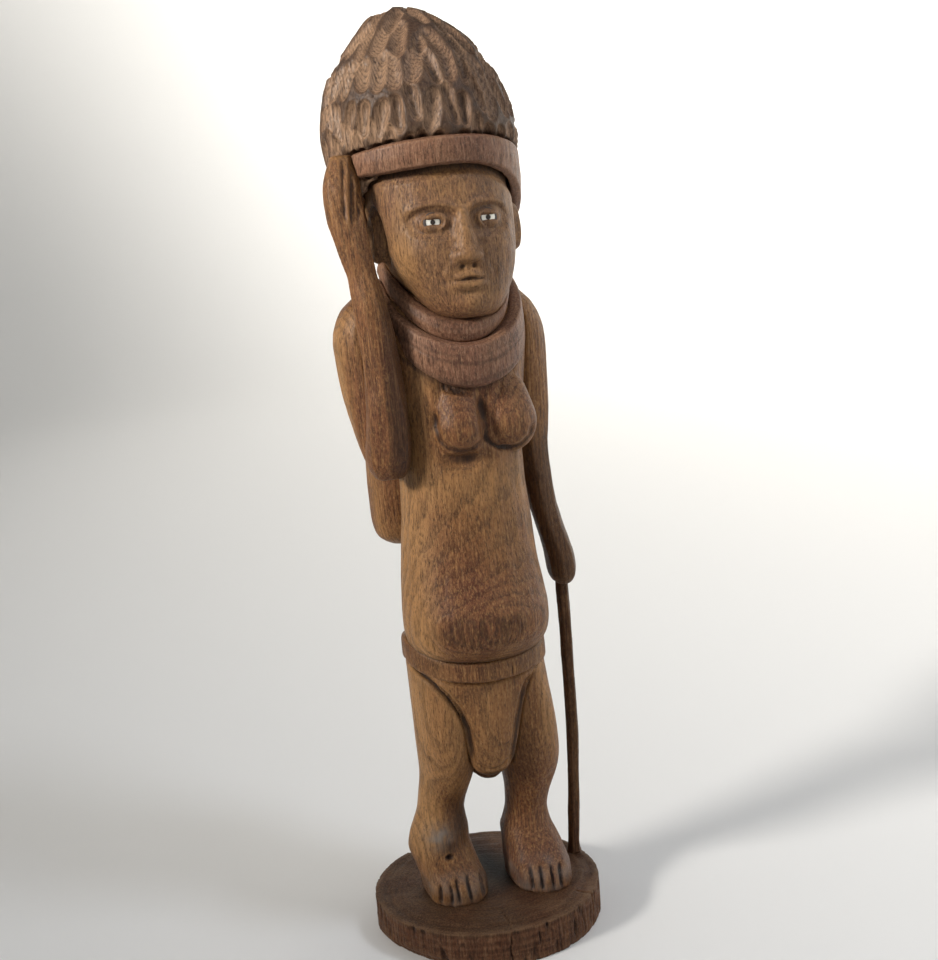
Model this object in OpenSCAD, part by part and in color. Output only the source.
// Carved ancestor figure on a log slab: a bearded-grain hardwood figure that holds
// the strap of its carrying bag with one hand and a walking stick with the other.
// Every carved member is a stack of level slices up the log. Z is up, the front is -Y.

/* [Log and plinth] */
// Height of the figure from the top of the plinth to the crown
figure_h = 755; // [600:5:1000]
// Radius of the log, which is the radius of the plinth
log_r = 101.5; // [80:0.5:130]
// Thickness of the plinth slab
plinth_h = 34; // [24:1:50]
// Sideways place of the figure's middle on the plinth
mid_x = 3.5; // [-6:0.5:8]

/* [Headdress] */
// Height of the headband at the brow
headband_h = 23; // [18:0.5:34]
// How much taller the headband grows towards the left ear
headband_flare = 33; // [0:1:40]
// Thickness of the headband
headband_t = 13; // [9:0.5:18]
// Width of each carrying strap
strap_w = 17; // [12:0.5:22]
// Thickness of each carrying strap
strap_t = 10; // [7:0.5:14]

/* [Neck and chest] */
// Height of the collar at the breastbone
collar_h = 38; // [28:1:50]
// Thickness of the collar through the chest
collar_t = 17; // [12:0.5:22]
// Height of the rolled neckline
roll_h = 22; // [16:0.5:28]
// Thickness of the rolled neckline
roll_t = 16; // [12:0.5:20]
// How far the breasts stand out of the chest
breast_d = 22; // [15:0.5:28]

/* [Loincloth] */
// Height of the belt
belt_h = 18; // [12:0.5:24]
// Thickness of the belt
belt_t = 12; // [9:0.5:18]
// Drop of the front apron below the belt
apron_drop = 99; // [70:1:118]
// Half width of the front apron at the belt
apron_w = 50; // [34:1:54]
// Drop of the rear apron below the belt
rear_drop = 112; // [85:1:124]

/* [Stick and bag] */
// Diameter of the walking stick
stick_d = 10.5; // [9:0.5:16]
// Distance of the stick's foot from the middle of the plinth
stick_x = 91.5; // [80:0.5:93]
// Width of the carrying bag
bag_w = 116; // [90:1:130]
// Height of the carrying bag
bag_h = 205; // [160:1:230]

/* [Inlaid eyes] */
// Diameter of each shell disc
shell_d = 11.5; // [9:0.5:14]
// Thickness of each shell disc
shell_t = 3; // [2:0.25:4]
// Width of the dark putty ring round each shell
putty_w = 2; // [1:0.25:3]
// Depth of each eye socket behind the face
socket_depth = 7; // [5:0.5:9]
// Diameter of each pupil
pupil_d = 4; // [3:0.25:5]
// Distance between the two eyes, centre to centre
eye_gap = 46; // [38:1:54]

/* [Hidden] */

// Finishes of the woods and inlays
WOOD = [0.45, 0.29, 0.18];
PALE_WOOD = [0.56, 0.40, 0.24];
RED_WOOD = [0.40, 0.22, 0.16];
DARK_WOOD = [0.24, 0.14, 0.10];

// The slices below are drawn for a figure this high, cut from a log of this radius
DRAWN_H = 755;
DRAWN_R = 101.5;
rise = figure_h / DRAWN_H;
girth = log_r / DRAWN_R;

// Faces round a member, steps between two drawn slices, and the fineness of the rest
SIDES = 24;
STEPS = 2;
HOOP_STEP = 9;
HOOP_FACES = 8;
LUMP_FACES = 20;
EYE_FACES = 20;

// Heights above the plinth where one member ends and the next begins
ANKLE_Z = 44;
HIP_Z = 221;
NECK_Z = 530;
ELBOW_Z = 392;
WRIST_Z = 548;
FIST_Z = 292;
BELT_Z = 213.5;
EYE_Z = 585;
EYE_SEAT_Y = -62;

// Height above the floor of a drawn height
function level(z) = plinth_h + z * rise;

// Point on a smooth curve between b and c, with a and d as the neighbours
function between(a, b, c, d, t) =
    0.5 * (2 * b + (c - a) * t + (2 * a - 5 * b + 4 * c - d) * t * t
    + (3 * b - a - 3 * c + d) * t * t * t);

// Smooth run through the drawn slices of a member
function smooth_run(cuts) =
    let (last = len(cuts) - 1)
    [for (i = [0:last - 1], k = [0:STEPS - 1])
        between(cuts[max(i - 1, 0)], cuts[i], cuts[i + 1], cuts[min(i + 2, last)], k / STEPS),
     cuts[last]];

// Outline of one slice [z, x, y, half width, half depth], rounder or squarer by power
function outline(cut, power) =
    [for (i = [0:SIDES - 1])
        let (c = cos(360 * i / SIDES), s = sin(360 * i / SIDES))
        [(cut[1] + cut[3] * sign(c) * pow(abs(c), 2 / power)) * girth,
         (cut[2] + cut[4] * sign(s) * pow(abs(s), 2 / power)) * girth,
         level(cut[0])]];

// A member carved as slices, listed from the bottom up
module member(cuts, power = 2) {
    run = smooth_run(cuts);
    rings = len(run);
    points = [for (cut = run) each outline(cut, power)];
    sides = [for (r = [0:rings - 2], i = [0:SIDES - 1])
        let (a = r * SIDES + i, b = r * SIDES + (i + 1) % SIDES)
        each [[a, a + SIDES, b + SIDES], [a, b + SIDES, b]]];
    bottom = [for (i = [0:SIDES - 1]) i];
    top = [for (i = [SIDES - 1:-1:0]) (rings - 1) * SIDES + i];
    polyhedron(points, concat(sides, [bottom, top]), convexity = 6);
}

// The same slices seen in a looking glass through the figure's middle
function mirrored(cuts) =
    [for (c = cuts) [c[0], 2 * mid_x - c[1], c[2], c[3], c[4]]];

// A drop for the front half turn of a hoop: 1 at the front, 0 at the sides
function front(a) = max(0, -sin(a));

// Value part way from the figure's right side to its left side, at a turn of a
function across(sides, a) = (sides[0] + sides[1]) / 2 + (sides[1] - sides[0]) / 2 * cos(a);

// A hoop round the log: centre, half sizes, heights at front, back and [right, left],
// thickness, and section heights at the front and at the [right, left]; power squares it
module hoop(mid, half, heights, thick, tall, from = 0, sweep = 360, power = 4) {
    closed = sweep == 360;
    turns = round(sweep / HOOP_STEP);
    count = closed ? turns : turns + 1;
    points = [for (i = [0:count - 1], k = [0:HOOP_FACES - 1])
        let (
            a = from + sweep * i / turns,
            f = front(a),
            b = max(0, sin(a)),
            z = across(heights[2], a) * (1 - f - b) + heights[0] * f + heights[1] * b,
            h = across(tall[1], a) * (1 - f) + tall[0] * f,
            c = 360 * k / HOOP_FACES,
            out = thick / 2 * sign(cos(c)) * pow(abs(cos(c)), 2 / power),
            up = h / 2 * sign(sin(c)) * pow(abs(sin(c)), 2 / power)
        )
        [(mid[0] + half[0] * cos(a)) * girth + out * cos(a),
         (mid[1] + half[1] * sin(a)) * girth + out * sin(a),
         level(z) + up]];
    spans = closed ? count : count - 1;
    skin = [for (i = [0:spans - 1], k = [0:HOOP_FACES - 1])
        let (
            n = ((i + 1) % count) * HOOP_FACES,
            o = i * HOOP_FACES,
            m = (k + 1) % HOOP_FACES
        )
        each [[o + k, o + m, n + m], [o + k, n + m, n + k]]];
    ends = closed ? [] : [
        [for (k = [HOOP_FACES - 1:-1:0]) k],
        [for (k = [0:HOOP_FACES - 1]) (count - 1) * HOOP_FACES + k]];
    polyhedron(points, concat(skin, ends), convexity = 8);
}

// Carves the first child with everything after it taken away, as one carved surface
module carved() {
    resize([0, 0, 0])
        difference() {
            children(0);
            if ($children > 1) children([1:$children - 1]);
        }
}

// Round lump of a drawn place and half sizes
module lump(at, half) {
    translate([at[0] * girth, at[1] * girth, level(at[2])])
        scale([half[0] * girth, half[1] * girth, half[2] * rise])
            sphere(r = 1, $fn = LUMP_FACES);
}

// Slices [z, x, y, half width, half depth] of the legs and feet
RIGHT_ANKLE = [ANKLE_Z, -40, 2, 26.5, 26];
LEFT_ANKLE = [ANKLE_Z, 42, 2, 22.5, 24.5];
RIGHT_LEG = [RIGHT_ANKLE, [59, -39, 1, 25.2, 24.5], [77, -36.9, 0, 20.5, 22],
    [95, -32.9, -3, 21.8, 25], [115, -29, -6, 23.8, 28.5], [147, -27, -9, 27.5, 34],
    [186, -26.5, -11, 28.8, 38], [HIP_Z, -26.5, -11, 29.5, 38]];
LEFT_LEG = [LEFT_ANKLE, [61, 42.6, 0, 18.4, 20.5], [77, 44, -3, 19.4, 22.5],
    [90, 45.8, -5, 22, 25.5], [106, 46.3, -7, 25.4, 28.5], [138, 43.8, -10, 27.6, 33],
    [170, 39, -12, 27.5, 36], [HIP_Z, 33.5, -11, 28.5, 38]];
RIGHT_FOOT = [[0, -31, -6, 27, 36], [12, -32, -5, 27, 35], [26, -36, -1, 26.5, 29], RIGHT_ANKLE];
LEFT_FOOT = [[0, 45, -14, 27, 40], [12, 45, -12, 27, 38.5], [26, 44.5, -5, 25.5, 31], LEFT_ANKLE];

// Slices of the trunk, from the hips to the root of the neck
TRUNK = [[HIP_Z, 3.5, -13, 58.5, 50], [229, 3.5, -18, 58.5, 53], [241, 3.5, -24, 61, 55],
    [262, 3.5, -25, 62, 56], [300, 3.5, -20, 58, 52], [345, 5, -17, 54, 49],
    [390, 5, -15, 53, 47], [440, 5, -14, 58, 49], [470, 4, -10, 65, 49],
    [497, 3, -6, 70, 46], [515, 2, -2, 62, 43], [NECK_Z, 4, 0, 50, 42]];

// Slices of the head, the neck and the dome of hair
SKULL = [[508, 12, -42, 22, 24], [514, 12, -40, 31, 33], [532, 11, -33, 44, 43],
    [560, 8, -23, 55, 52], [600, 6, -11.5, 60.5, 57.5], [640, 5, -4, 59, 57],
    [680, 4, 4, 50, 52], [700, 4, 8, 36, 38]];
NECK = [[NECK_Z, 5, 0, 46, 42], [560, 5, 2, 46, 44], [600, 5, 6, 48, 46]];
DOME = [[572, 4, 28, 54, 56], [585, 4, 23, 65, 67], [610, 4, 17, 74, 76.5],
    [632, 4, 14, 77, 79], [656, 3, 13, 79.5, 79.5], [680, 1.5, 14, 75, 76],
    [704, 0, 15, 66, 67.5], [726, 0, 15, 49.5, 51], [739, -1.5, 16, 36, 37.5],
    [748.5, -4, 18, 25, 26], [753.5, -5, 19, 14, 14], [DRAWN_H, -5, 19, 5, 5]];

// Slices of the two arms
RIGHT_ARM = [[384, -58, -15, 12, 13], [397, -58, -12, 18.5, 20], [418, -61, -6, 19.5, 22],
    [446, -65.5, -2, 20, 23], [480, -68, 1, 20.5, 25], [501, -67, 2, 20.5, 25],
    [520, -60, 2, 19, 22], [531, -52, 2, 12, 15]];
RIGHT_FOREARM = [[383, -62, -38, 11, 10], [390, -62.5, -39, 16.5, 14.5], [402, -63, -40, 19, 17],
    [425, -62, -43, 18, 16], [460, -62.5, -44, 15.5, 15], [500, -64.5, -44, 14, 14],
    [530, -68, -42, 13, 13], [WRIST_Z, -70, -38, 11.5, 12]];
RIGHT_HAND = [[WRIST_Z, -70, -38, 11.5, 12], [575, -74, -34, 14, 12], [605, -77, -29, 16, 12],
    [625, -76, -25, 14, 11], [642, -73, -20, 9, 8]];
LEFT_ARM = [[ELBOW_Z, 74, 2, 16, 18], [420, 75, 3, 18.5, 21], [466, 75, 5, 20, 24],
    [492, 73.5, 5, 20, 24], [512, 66, 5, 18, 21], [526, 57, 5, 12, 15]];
LEFT_FOREARM = [[FIST_Z, 89.5, -9, 12.5, 12.5], [307, 86, -8, 12, 12], [335, 80, -4, 12, 12.5],
    [372, 76.5, 1, 13.5, 15], [ELBOW_Z, 74, 2, 16, 18]];
LEFT_HAND = [[262, 92, -7, 6, 8], [269, 92, -8, 11, 12], [280, 91, -9, 12.5, 13.5],
    [FIST_Z, 89.5, -9, 12.5, 12.5]];

// Hoops: [centre], [half sizes], heights at [front, back, [right, left]]
BELT_MID = [3.5, -12];
BELT_HALF = [57, 48.5];
BELT_HEIGHTS = [BELT_Z, BELT_Z + 12, [BELT_Z + 17, BELT_Z + 4]];
ROLL_HEIGHTS = [497, 556, [545, 545]];
COLLAR_HEIGHTS = [470, 528, [530, 512]];
BAND_MID = [3.5, 10];
BAND_HALF = [72.5, 77.5];
BAND_HEIGHTS = [639.5, 615, [629.5, 603.5]];
BAND_FROM = 162;
BAND_SWEEP = 216;

belt_foot = BELT_Z - belt_h / 2 / rise;
apron_foot = BELT_Z - apron_drop / rise;
rear_foot = BELT_Z - rear_drop / rise;
bag_top = 510;
bag_foot = bag_top - bag_h / rise;
bag_half = bag_w / 2 / girth;
stick_r = stick_d / 2 / girth;
stick_foot_x = stick_x / girth;

// Front apron: a broad tongue that narrows below the belt
APRON = [[apron_foot, 2, -39, 8, 5], [apron_foot + 5, 2, -40, 15, 8],
    [apron_foot + 15, 2, -41, 20, 11], [apron_foot + 38, 2.5, -43, 24.5, 13],
    [apron_foot + 62, 2.5, -44, apron_w * 0.63, 14], [apron_foot + 80, 2, -45, apron_w * 0.78, 14],
    [BELT_Z, 1, -45, apron_w * 0.98, 14]];
REAR_APRON = [[rear_foot, 7, -16, 5, 4], [rear_foot + 9, 6, -14, 16, 6],
    [rear_foot + 45, 4, 2, 27, 10], [BELT_Z, 3, 20, 40, 14]];

// Carrying bag, straps and walking stick
BAG = [[bag_foot, 1, 61, bag_half * 0.7, 15], [bag_foot + 6, 1, 61, bag_half * 0.9, 23],
    [bag_foot + 22, 1, 60, bag_half, 29], [bag_foot + 95, 1, 59, bag_half, 31],
    [bag_top - 36, 1, 56, bag_half * 0.96, 27], [bag_top - 8, 1, 53, bag_half * 0.84, 18],
    [bag_top, 1, 51, bag_half * 0.7, 12]];
strap_a = strap_w / 2 / girth;
strap_b = strap_t / 2 / girth;
STRAP = [[bag_top - 14, -40, 54, strap_a, strap_b + 3], [535, -46, 56, strap_a, strap_b],
    [570, -57, 47, strap_a, strap_b + 1], [600, -66, 29, strap_b + 2, strap_a],
    [618, -62, 24, strap_b, strap_a - 2]];
STICK = [[0, stick_foot_x, 14, stick_r * 1.35, stick_r * 1.35],
    [9, stick_foot_x, 13.5, stick_r, stick_r], [120, stick_foot_x + 3.5, 5, stick_r, stick_r],
    [272, stick_foot_x - 1, -7.5, stick_r, stick_r]];

// Right side of the figure when true, left side when false
function eye_x(right) = mid_x + 3.5 + (right ? -1 : 1) * eye_gap / 2;

// Plain blanks, before their neighbours are cut out of them
module trunk_blank() {
    member(TRUNK, 2.2);
    for (side = [-1, 1])
        hull() {
            lump([17.5 + side * 23, -50 + side * 3, 419], [23, breast_d, 26]);
            lump([16.5 + side * 22, -50 + side * 3, 440], [19, breast_d * 0.65, 19]);
        }
}

module skull_blank() {
    member(SKULL, 2.15);
    member(NECK);
    // Nose and ears
    hull() {
        lump([8, -73, 558], [11, 8, 6]);
        lump([7, -68, 588], [4, 5, 8]);
    }
    for (side = [-1, 1])
        lump([7 + side * 57, -22, 574], [6, 11, 20]);
}

module hair_blank() {
    difference() {
        member(DOME, 2.1);
        // The hairline climbs from behind the ears to the brow
        translate([0, -70 * girth, level(652)])
            rotate([-41, 0, 0])
                translate([-150, -150, -300]) cube([300, 400, 300]);
    }
}

module headband_blank() {
    hoop(BAND_MID, BAND_HALF, BAND_HEIGHTS, headband_t,
        [headband_h, [headband_h - 7, headband_h + headband_flare]], BAND_FROM, BAND_SWEEP);
}

module belt_blank() {
    hoop(BELT_MID, BELT_HALF, BELT_HEIGHTS, belt_t, [belt_h, [belt_h + 4, belt_h + 2]]);
}

module neck_roll_blank() {
    hoop([6, -9], [46, 49], ROLL_HEIGHTS, roll_t, [roll_h, [roll_h, roll_h]], power = 2);
}

module collar_blank() {
    hoop([7, -7], [55, 58], COLLAR_HEIGHTS, collar_t, [collar_h, [collar_h * 0.62, collar_h * 1.2]]);
}

module socket(right, r, depth, proud) {
    translate([eye_x(right) * girth, EYE_SEAT_Y * girth - proud, level(EYE_Z)])
        rotate([-90, 0, 0]) cylinder(r = r, h = depth + proud, $fn = EYE_FACES);
}

// The half of the figure on one side of its middle
module half(right) {
    wide = 4 * log_r;
    translate([right ? mid_x * girth - wide : mid_x * girth, -wide / 2, 0])
        cube([wide, wide, 2 * figure_h]);
}

module leg_blank(right) {
    intersection() {
        member(right ? RIGHT_LEG : LEFT_LEG);
        half(right);
    }
}

// Plinth and legs
module plinth() {
    color(DARK_WOOD) cylinder(r = log_r, h = plinth_h, $fn = 96);
}

module right_foot() {
    color(WOOD) member(RIGHT_FOOT, 2.3);
}

module left_foot() {
    color(WOOD) member(LEFT_FOOT, 2.3);
}

module right_leg() {
    color(PALE_WOOD) carved() leg_blank(true);
}

module left_leg() {
    color(RED_WOOD) carved() leg_blank(false);
}

// Trunk and its dress
module torso() {
    color(PALE_WOOD) carved() trunk_blank();
}

module belt() {
    color(RED_WOOD)
        carved() {
            belt_blank();
            trunk_blank();
            leg_blank(true);
            leg_blank(false);
        }
}

module front_apron() {
    color(WOOD)
        carved() {
            member(APRON);
            belt_blank();
            trunk_blank();
            leg_blank(true);
            leg_blank(false);
        }
}

module rear_apron() {
    color(DARK_WOOD)
        carved() {
            member(REAR_APRON);
            belt_blank();
            trunk_blank();
            leg_blank(true);
            leg_blank(false);
            member(APRON);
        }
}

module neck_roll() {
    color(RED_WOOD)
        carved() {
            neck_roll_blank();
            trunk_blank();
            skull_blank();
        }
}

module collar() {
    color(RED_WOOD)
        carved() {
            collar_blank();
            trunk_blank();
            skull_blank();
            neck_roll_blank();
            member(RIGHT_ARM);
            member(LEFT_ARM);
        }
}

// Head and headdress
module head() {
    color(WOOD)
        carved() {
            skull_blank();
            trunk_blank();
            for (right = [true, false])
                socket(right, shell_d / 2 + putty_w, socket_depth, 40);
        }
}

module hair() {
    color(WOOD)
        carved() {
            hair_blank();
            skull_blank();
            headband_blank();
            member(RIGHT_HAND);
        }
}

module headband() {
    color(RED_WOOD)
        carved() {
            headband_blank();
            skull_blank();
            member(RIGHT_HAND);
        }
}

// Arms
module right_upper_arm() {
    color(PALE_WOOD)
        carved() {
            member(RIGHT_ARM);
            trunk_blank();
            skull_blank();
            member(RIGHT_FOREARM);
        }
}

module right_forearm() {
    color(WOOD)
        carved() {
            member(RIGHT_FOREARM);
            trunk_blank();
            collar_blank();
        }
}

module right_hand() {
    color(RED_WOOD)
        carved() {
            member(RIGHT_HAND);
            skull_blank();
        }
}

module left_upper_arm() {
    color(PALE_WOOD)
        carved() {
            member(LEFT_ARM);
            trunk_blank();
            skull_blank();
        }
}

module left_forearm() {
    color(DARK_WOOD)
        carved() {
            member(LEFT_FOREARM);
            trunk_blank();
            member(STICK);
        }
}

module left_hand() {
    color(DARK_WOOD)
        carved() {
            member(LEFT_HAND);
            trunk_blank();
            member(STICK);
        }
}

// Things the figure carries
module walking_stick() {
    color(DARK_WOOD) member(STICK);
}

module carrying_bag() {
    color(RED_WOOD)
        carved() {
            member(BAG, 2.8);
            trunk_blank();
            member(RIGHT_ARM);
            member(LEFT_ARM);
            collar_blank();
        }
}

module strap(right) {
    carved() {
        member(right ? STRAP : mirrored(STRAP));
        hair_blank();
        headband_blank();
        skull_blank();
        member(BAG, 2.8);
        trunk_blank();
        collar_blank();
        member(RIGHT_HAND);
        member(right ? RIGHT_ARM : LEFT_ARM);
    }
}

module right_strap() {
    color(RED_WOOD) strap(true);
}

module left_strap() {
    color(RED_WOOD) strap(false);
}

// Inlaid eyes: putty bed, shell disc and pupil
module eye_putty(right) {
    carved() {
        intersection() {
            skull_blank();
            socket(right, shell_d / 2 + putty_w, socket_depth, 40);
        }
        trunk_blank();
        socket(right, shell_d / 2, shell_t, 40);
    }
}

module eye_shell(right) {
    carved() {
        socket(right, shell_d / 2, shell_t, shell_t);
        socket(right, pupil_d / 2, shell_t, 40);
    }
}

module pupil(right) {
    carved() socket(right, pupil_d / 2, shell_t, shell_t + 0.4);
}

module right_eye_putty() {
    color("black") eye_putty(true);
}

module left_eye_putty() {
    color("black") eye_putty(false);
}

module right_eye_shell() {
    color("ivory") eye_shell(true);
}

module left_eye_shell() {
    color("ivory") eye_shell(false);
}

module right_pupil() {
    color("black") pupil(true);
}

module left_pupil() {
    color("black") pupil(false);
}

plinth();
right_foot();
left_foot();
right_leg();
left_leg();
torso();
belt();
front_apron();
rear_apron();
neck_roll();
collar();
head();
hair();
headband();
right_upper_arm();
right_forearm();
right_hand();
left_upper_arm();
left_forearm();
left_hand();
walking_stick();
carrying_bag();
right_strap();
left_strap();
right_eye_putty();
right_eye_shell();
right_pupil();
left_eye_putty();
left_eye_shell();
left_pupil();
